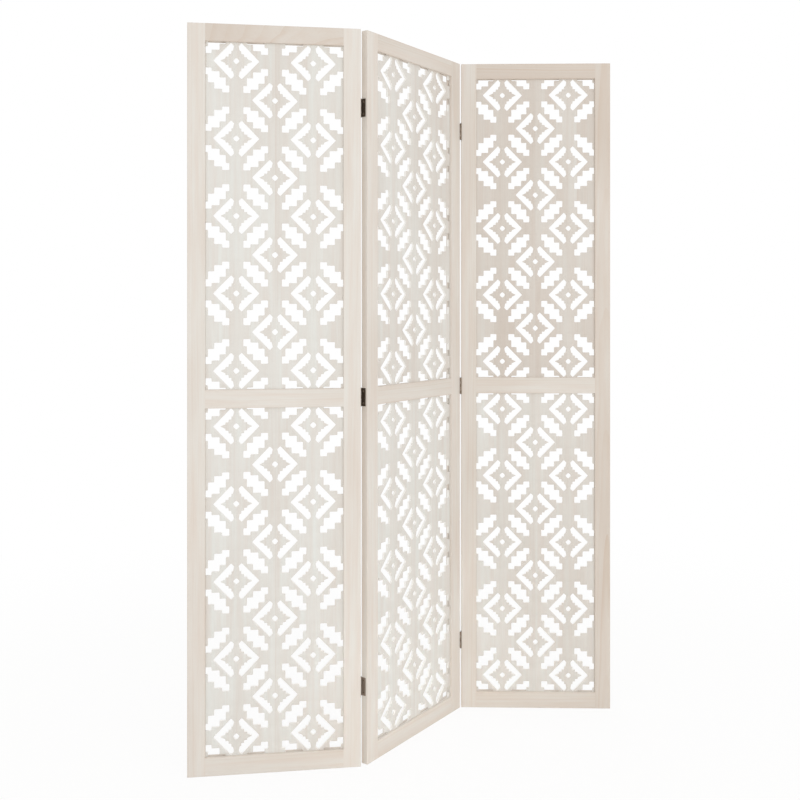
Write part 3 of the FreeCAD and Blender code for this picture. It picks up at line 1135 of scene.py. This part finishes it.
@dataclass(frozen=True)
class ButtHinge:
    """Butt hinge with rolled knuckles and countersunk cross-recessed screws.

    Its own frame has the pin on the Z axis, X towards the leaf's edge and Y into the leaf.
    """

    height: float = 42 * MM
    plate_thickness: float = 0.9 * MM
    closed_gap: float = 0.3 * MM
    plate_near: float = 2.35 * MM
    plate_far: float = 14.35 * MM
    plate_corner: float = 1.0 * MM
    plate_corner_steps: int = 4
    plate_arris: float = 0.18 * MM
    plate_wear: tuple[float, ...] = (0.2, 0.8, 0.3, 0.0)
    knuckles: int = 5
    knuckle_radius: float = 1.95 * MM
    bore_radius: float = 1.05 * MM
    knuckle_gap: float = 0.3 * MM
    knuckle_chamfer: float = 0.2 * MM
    roll_seam: float = 0.15 * MM
    outer_steps: int = 36
    inner_steps: int = 20
    screw_from_end: float = 7 * MM
    screw_length: float = 16 * MM
    screw_shank: float = 1.4 * MM
    screw_head: float = 2.3 * MM
    screw_tip: float = 3 * MM
    hole_clearance: float = 0.05 * MM
    hole_sides: int = 32
    recess_arm: float = 1.4 * MM
    recess_half_width: float = 0.38 * MM
    recess_wall: float = 0.12 * MM
    recess_depth: float = 0.9 * MM
    head_wear: float = 0.5
    worn_rim: float = 0.3 * MM
    innermost_ring: float = 0.02
    head_rings: int = 20
    screw_sides: int = 64

    @property
    def inner_face(self) -> float:
        """Distance from the pin's plane to the plate's face."""
        return self.closed_gap / 2

    @property
    def screw_places(self) -> list[tuple[float, float]]:
        """Place of each screw into the leaf and up from the hinge's middle."""
        reach = self.height / 2 - self.screw_from_end
        return [((self.plate_near + self.plate_far) / 2, up) for up in (-reach, reach)]

    def plate(self) -> Surface:
        """Flat plate with rounded corners at its free edge and two countersunk holes.

        A hole narrows from the screw's head to its shank at 45 degrees.

        Returns:
            The plate's surface.
        """
        half = self.height / 2
        edge = np.array([(self.plate_near, -half), (self.plate_far, -half), (self.plate_far, half),
                         (self.plate_near, half)])
        edge = rounded(edge, self.plate_corner, self.plate_corner_steps)
        angle = np.linspace(0, 2 * np.pi, self.hole_sides, endpoint=False)
        ring = (self.screw_shank + self.hole_clearance) * np.stack([np.cos(angle), np.sin(angle)], axis=1)
        holes = [ring + centre for centre in self.screw_places]
        loops = [turned_left(edge, True)] + [turned_left(hole, False) for hole in holes]
        e, t = self.plate_arris, self.plate_thickness
        depths = np.array([0, e, t - e, t])
        insets = np.stack([np.array([e, 0, 0, e]), t - depths, t - depths], axis=1)
        surface = pierced_sheet(loops, insets, depths, np.array(self.plate_wear))
        into, depth, up = surface.points.T
        surface.points = np.stack([self.inner_face + depth, into, up], axis=1)
        return surface

    def knuckle(self, bottom: float, top: float) -> Surface:
        """One knuckle, rolled from the plate round the pin.

        The profile leaves the plate, follows the barrel's outside nearly all the way round to a narrow seam,
        and comes back along the bore. It is carried up the pin, drawn in a little at both ends.

        Args:
            bottom: its lower end.
            top: its upper end.

        Returns:
            The knuckle's surface.
        """
        inner, outer = self.inner_face, self.inner_face + self.plate_thickness
        around = np.linspace(math.asin(outer / self.knuckle_radius),
                             2 * np.pi + math.asin((inner - self.roll_seam) / self.knuckle_radius),
                             self.outer_steps)
        bore = np.linspace(around[-1], math.asin(inner / self.bore_radius), self.inner_steps)
        barrel = self.knuckle_radius * np.stack([np.sin(around), np.cos(around)], axis=1)
        inside = self.bore_radius * np.stack([np.sin(bore), np.cos(bore)], axis=1)
        profile = np.concatenate([[(outer, self.plate_near)], barrel, inside, [(inner, self.plate_near)]])
        profile = turned_left(profile, True)
        c = self.knuckle_chamfer
        insets, heights = np.array([c, 0, 0, c]), np.array([bottom, bottom + c, top - c, top])
        grid = np.stack([np.c_[moved_in(profile, inset), np.full(len(profile), up)]
                         for inset, up in zip(insets, heights)])
        return carried_profile(grid, np.ones(grid.shape[:2]))

    def leaf_of_hinge(self, own: int) -> Surface:
        """Plate with the knuckles that it owns.

        Args:
            own: 0 for the first, third and fifth knuckle, 1 for the others.

        Returns:
            The surface of both.
        """
        length = (self.height - (self.knuckles - 1) * self.knuckle_gap) / self.knuckles
        starts = -self.height / 2 + (length + self.knuckle_gap) * np.arange(own, self.knuckles, 2)
        return Surface.join([self.plate()] + [self.knuckle(start, start + length) for start in starts])

    def screw(self) -> Surface:
        """Countersunk screw along X with its head's face at the origin.

        It is a grid of rings: the flat head from its middle out, the cone under it, the shank and the point.
        The cross recess lowers the head's points by a depth that falls from the middle to the arms' ends.

        Returns:
            The screw's surface.
        """
        head = np.linspace(self.innermost_ring, 1, self.head_rings) * self.screw_head
        cone = self.screw_head - self.screw_shank
        radius = np.r_[head, self.screw_shank, self.screw_shank, head[0]][:, None]
        depth = np.r_[np.zeros(self.head_rings), cone, self.screw_length - self.screw_tip, self.screw_length]
        angle = np.linspace(0, 2 * np.pi, self.screw_sides, endpoint=False)[None]
        into, up = radius * np.cos(angle), radius * np.sin(angle)
        arm = np.maximum(np.abs(into), np.abs(up))
        side = np.minimum(np.abs(into), np.abs(up))
        across_arm = np.clip((self.recess_half_width - side) / self.recess_wall, 0, 1)
        fall = np.clip(1 - (arm / self.recess_arm) ** 2, 0, 1)
        is_face = (np.arange(len(depth)) < self.head_rings)[:, None]
        sunk = self.recess_depth * across_arm * fall * is_face
        grid = np.stack([depth[:, None] + sunk, into, up], axis=-1)
        rim = np.exp(-((radius - self.screw_head) / self.worn_rim) ** 2) * is_face
        bare = np.clip(self.head_wear * is_face + rim - sunk / self.recess_depth, 0, 1)
        return carried_profile(grid, bare)


@dataclass
class LeafHinges:
    """Hinge plates and screws that one leaf carries."""

    leaf: str
    place: LeafPlace
    pins: dict[str, PinSide]
    hinge: ButtHinge
    levels: dict[str, float]
    painted_reflection_hinge: tuple[str, str]

    def build(self, plating: bpy.types.Material, painted_reflection_plating: bpy.types.Material,
              screws: bpy.types.Material) -> None:
        """Make every plate with its knuckles, and all screws as one piece.

        Args:
            plating: finish of the plates.
            painted_reflection_plating: finish of the plates of the hinge that carries a painted reflection of the
                floor.
            screws: finish of the screws.
        """
        h = self.hinge
        on_centre = self.leaf == "centre_leaf"
        holder = "centre_plate" if on_centre else "plate"
        plate = h.leaf_of_hinge(0 if on_centre else 1)
        screw = h.screw()
        all_screws = []
        for side, pin in self.pins.items():
            for level, height in self.levels.items():
                points = self.place.to_frame(pin.to_leaf(plate.points, height))
                node = f"{side}_{level}_hinge_{holder}"
                # one hinge gets the plating with the painted reflection of the floor
                finish = painted_reflection_plating if (side, level) == self.painted_reflection_hinge else plating
                add_piece(f"{node}_rolled", replace(plate, points=points), {}, finish, self.leaf, node)
                for into, up in h.screw_places:
                    points = pin.to_leaf(screw.points + (h.inner_face, into, up), height)
                    all_screws.append(replace(screw, points=self.place.to_frame(points)))
        node = f"{self.leaf}_hinge_screws"
        add_piece(f"{node}_cross_head", Surface.join(all_screws), {}, screws, self.leaf, node)


# Studio

@dataclass(frozen=True)
class SoftLamp:
    """A large soft lamp: where it stands, what it faces, its size and its power, and how wide it shines."""

    name: str
    stands: tuple[float, float, float]
    faces: tuple[float, float, float]
    size: float
    power: float
    spread: float = math.pi

    def build(self) -> None:
        """Add the lamp to the scene."""
        light = bpy.data.lights.new(self.name, "AREA")
        light.shape, light.size, light.energy, light.spread = "DISK", self.size, self.power, self.spread
        lamp = bpy.data.objects.new(self.name, light)
        lamp.location = self.stands
        lamp.visible_camera = False
        lamp.rotation_euler = (Vector(self.faces) - Vector(self.stands)).to_track_quat("-Z", "Y").to_euler()
        bpy.context.scene.collection.objects.link(lamp)


@dataclass(frozen=True)
class Studio:
    """Pale floor, white surroundings, soft lamps and the camera."""

    floor_size: float = 40.0
    floor_colour: str = "#fbfaf8"
    floor_whiteness: tuple[float, float] = (0.88, 1.0)
    floor_whitens: tuple[float, float] = (0.7, 2.4)
    surroundings: str = "#ffffff"
    ambient: float = 0.88
    lamps: tuple[SoftLamp, ...] = (
        SoftLamp("key_lamp", (-1.7, -3.2, 2.0), (-0.1, 0.0, 0.9), size=2.2, power=3.5),
        SoftLamp("fill_lamp", (1.6, -3.0, 1.6), (0.0, 0.0, 0.8), size=2.4, power=17.0),
        SoftLamp("foot_lamp", (0.5, -2.4, 0.5), (0.02, 0.1, 0.0), size=0.6, power=0.125,
                 spread=math.radians(20)),
    )
    camera_place: tuple[float, float, float] = (0.02924, -2.35644, 1.06729)
    camera_turn: float = 1.232
    lens: float = 43.275
    sensor_width: float = 36.0
    shift: tuple[float, float] = (-0.00759, -0.1207)

    def seen_directly(self, tree: bpy.types.NodeTree) -> bpy.types.Node:
        """Mask that is 1 for what the camera sees, straight, mirrored or through glass."""
        rays = add_node(tree, "LightPath").outputs
        straight = add_node(tree, "Math", {0: rays["Is Camera Ray"], 1: rays["Is Glossy Ray"]}, operation="MAXIMUM")
        return add_node(tree, "Math", {0: straight, 1: rays["Is Transmission Ray"]}, operation="MAXIMUM")

    def build_floor(self) -> None:
        """Lay the floor: diffuse for the light that it returns, and mostly white to the camera, shadow included.

        It whitens with the distance from the screen, so that it ends in the white surroundings with no line.
        """
        material, tree = new_material("pale_studio_floor")
        paper = add_node(tree, "BsdfDiffuse", {"Color": linear(self.floor_colour)})
        white = add_node(tree, "Emission", {"Color": linear(self.surroundings), "Strength": 1.0})
        place = add_node(tree, "TexCoord").outputs["Object"]
        away = add_node(tree, "VectorMath", {0: place}, operation="LENGTH").outputs["Value"]
        whiteness = add_node(tree, "MapRange",
                             {"Value": away, "From Min": self.floor_whitens[0], "From Max": self.floor_whitens[1],
                              "To Min": self.floor_whiteness[0], "To Max": self.floor_whiteness[1]},
                             interpolation_type="SMOOTHSTEP")
        share = add_node(tree, "Math", {0: self.seen_directly(tree), 1: whiteness}, operation="MULTIPLY")
        mixed = add_node(tree, "MixShader", {0: share, 1: paper, 2: white})
        add_node(tree, "OutputMaterial", {"Surface": mixed})
        corners = self.floor_size / 2 * np.array([(-1, -1, 0), (1, -1, 0), (1, 1, 0), (-1, 1, 0)])
        mesh = bpy.data.meshes.new("studio_floor")
        mesh.from_pydata(corners.tolist(), [], [[0, 1, 2, 3]])
        mesh.materials.append(material)
        floor = bpy.data.objects.new("studio_floor", mesh)
        bpy.context.scene.collection.objects.link(floor)

    def build_surroundings(self) -> None:
        """Surround the scene: white to the camera, and a plain even light on the object."""
        world = bpy.data.worlds.new("white_studio")
        world.use_nodes = True
        tree = world.node_tree
        tree.nodes.clear()
        even = add_node(tree, "Background", {"Color": linear(self.surroundings), "Strength": self.ambient})
        white = add_node(tree, "Background", {"Color": linear(self.surroundings), "Strength": 1.0})
        mixed = add_node(tree, "MixShader", {0: self.seen_directly(tree), 1: even, 2: white})
        add_node(tree, "OutputWorld", {"Surface": mixed})
        bpy.context.scene.world = world

    def build_camera(self) -> None:
        """Set up the camera level at the photograph's place, shifted as its frame is."""
        data = bpy.data.cameras.new("view")
        data.lens, data.sensor_width = self.lens, self.sensor_width
        data.shift_x, data.shift_y = self.shift
        camera = bpy.data.objects.new("view", data)
        camera.location = self.camera_place
        camera.rotation_euler = (math.radians(90), 0, math.radians(self.camera_turn))
        bpy.context.scene.collection.objects.link(camera)
        bpy.context.scene.camera = camera

    def build(self) -> None:
        """Build the whole studio."""
        self.build_floor()
        self.build_surroundings()
        for lamp in self.lamps:
            lamp.build()
        self.build_camera()
        bpy.context.scene.view_settings.view_transform = "Standard"


# The screen

@dataclass(frozen=True)
class FoldingScreen:
    """Three leaves in a zigzag, joined by hinges behind the left joint and before the right joint."""

    sizes: FrameSizes = FrameSizes()
    pattern: Fretwork = Fretwork()
    hinge: ButtHinge = ButtHinge()
    turns_in_degrees: tuple[float, float, float] = (8.9, 54.95, 0.0)
    hinge_from_end: float = 179 * MM
    # The lowest left hinge is painted lighter: a painted reflection of the floor.
    hinge_with_painted_reflection: tuple[str, str] = ("left", "bottom")
    pin_standoff: float = 2.1 * MM
    edge_gap: float = 2.1 * MM
    seed: int = 7

    def pins(self) -> dict[str, dict[str, PinSide]]:
        """Pins that each leaf holds, by leaf and by side."""
        before, after = -self.edge_gap / 2, self.sizes.width + self.edge_gap / 2
        behind, ahead = self.sizes.thickness + self.pin_standoff, -self.pin_standoff
        return {
            "left_leaf": {"left": PinSide(after, behind, -1, -1)},
            "centre_leaf": {"left": PinSide(before, behind, 1, -1), "right": PinSide(after, ahead, -1, 1)},
            "right_leaf": {"right": PinSide(before, ahead, 1, 1)},
        }

    def figures(self) -> dict[str, dict[str, Figure]]:
        """How each board was sawn, by leaf and by board."""
        plain = {"left_stile": Figure.QUARTER, "right_stile": Figure.FLAT, "top_rail": Figure.FLAT,
                 "middle_rail": Figure.QUARTER, "bottom_rail": Figure.FLAT}
        return {
            "left_leaf": plain | {"top_rail": Figure.SLANTED},
            "centre_leaf": plain,
            "right_leaf": plain,
        }

    def coverage(self) -> dict[str, dict[str, Coverage]]:
        """How well the wash covers each board and panel, by leaf. The right leaf's thinner wash is partly its own
        tone and partly painted shade, darkening that leaf, which stands back beside the centre leaf.
        """
        full, good, thin, scant = Coverage
        return {
            "left_leaf": {"left_stile": full, "right_stile": full, "top_rail": thin, "middle_rail": full,
                          "bottom_rail": good, "lower_fret_panel": full, "upper_fret_panel": full},
            "centre_leaf": {"left_stile": full, "right_stile": good, "top_rail": good, "middle_rail": good,
                            "bottom_rail": good, "lower_fret_panel": full, "upper_fret_panel": good},
            # partly painted shade: the right leaf as a whole gets a thinner wash
            "right_leaf": {"left_stile": good, "right_stile": thin, "top_rail": scant, "middle_rail": good,
                           "bottom_rail": good, "lower_fret_panel": good, "upper_fret_panel": thin},
        }

    def build(self) -> None:
        """Build every leaf, and dress the CAD pieces that stay."""
        frame_wood = WhitewashedWood(
            "whitewashed_paulownia_board", Makeup.BOARD, wash="#e0d6cc", thick_wash="#e4e0d9", scant_wash="#c9b9aa",
            wood="#c3a68a", edge="#c3a68a", rings_show=0.07, rings_show_in_scant_wash=0.5)
        # On the panels the near-white edge colour, shown strongly, is a painted highlight on the walls of the
        # cut-outs and their arrises.
        panel_wood = WhitewashedWood(
            "whitewashed_paulownia_strips", Makeup.STRIPS, wash="#e0dad3", thick_wash="#e4e4df", scant_wash="#cabcb0",
            wood="#bca793", edge="#fdfbf7", rings_show=0.05, rings_show_in_scant_wash=0.1, wear_and_painted_light_shows=1.8)
        frame_finish, panel_finish = (wood.material(self.sizes.opening_width) for wood in (frame_wood, panel_wood))
        # Much lighter plating: a painted reflection of the floor on the lowest left hinge.
        plating = BronzedSteel("dark_bronzed_steel", "#43372e", "#b8a48e").material()
        painted_reflection_plating = BronzedSteel("bronzed_steel_with_painted_reflection", "#9a8c80", "#b9aa9a").material()
        screw_metal = BronzedSteel("worn_bronzed_steel", "#75675a", "#a8977f").material()
        chance = np.random.default_rng(self.seed)
        sheet = self.pattern.sheet()
        levels = {"top": self.sizes.height - self.hinge_from_end, "middle": self.sizes.height / 2,
                  "bottom": self.hinge_from_end}
        figures, coverage = self.figures(), self.coverage()
        for number, (leaf, pins) in enumerate(self.pins().items()):
            turn = math.radians(self.turns_in_degrees[number])
            side, pin = next(iter(pins.items()))
            place = LeafPlace.from_pin(f"{side}_fold", pin.x, pin.y, turn)
            boards = LeafFrame(leaf, place, self.sizes, figures[leaf], coverage[leaf], chance)
            boards.build(frame_finish)
            panels = FretPanels(leaf, place, self.sizes, self.pattern, coverage[leaf], panel_wood.strip_width, number)
            panels.build(sheet, panel_finish)
            hinges = LeafHinges(leaf, place, pins, self.hinge, levels, self.hinge_with_painted_reflection)
            hinges.build(plating, painted_reflection_plating, screw_metal)
            self.dress(f"{leaf}_dowels", BeechDowel(f"plain_beech_{leaf}", turn).material())
        for side in ("left", "right"):
            for level in levels:
                self.dress(f"{side}_{level}_hinge_pin", plating)

    def dress(self, node: str, material: bpy.types.Material) -> None:
        """Give a CAD piece that stays its finish.

        Args:
            node: the piece's name.
            material: its finish.
        """
        materials = frame["nodes"][node].data.materials
        materials.clear()
        materials.append(material)
        log.info("%s: CAD piece in %s", node, material.name)


def main() -> None:
    """Build the screen and its studio."""
    logging.basicConfig(level=logging.INFO, format="%(name)s: %(message)s")
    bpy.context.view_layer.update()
    FoldingScreen().build()
    Studio().build()


if __name__ == "__main__":
    main()
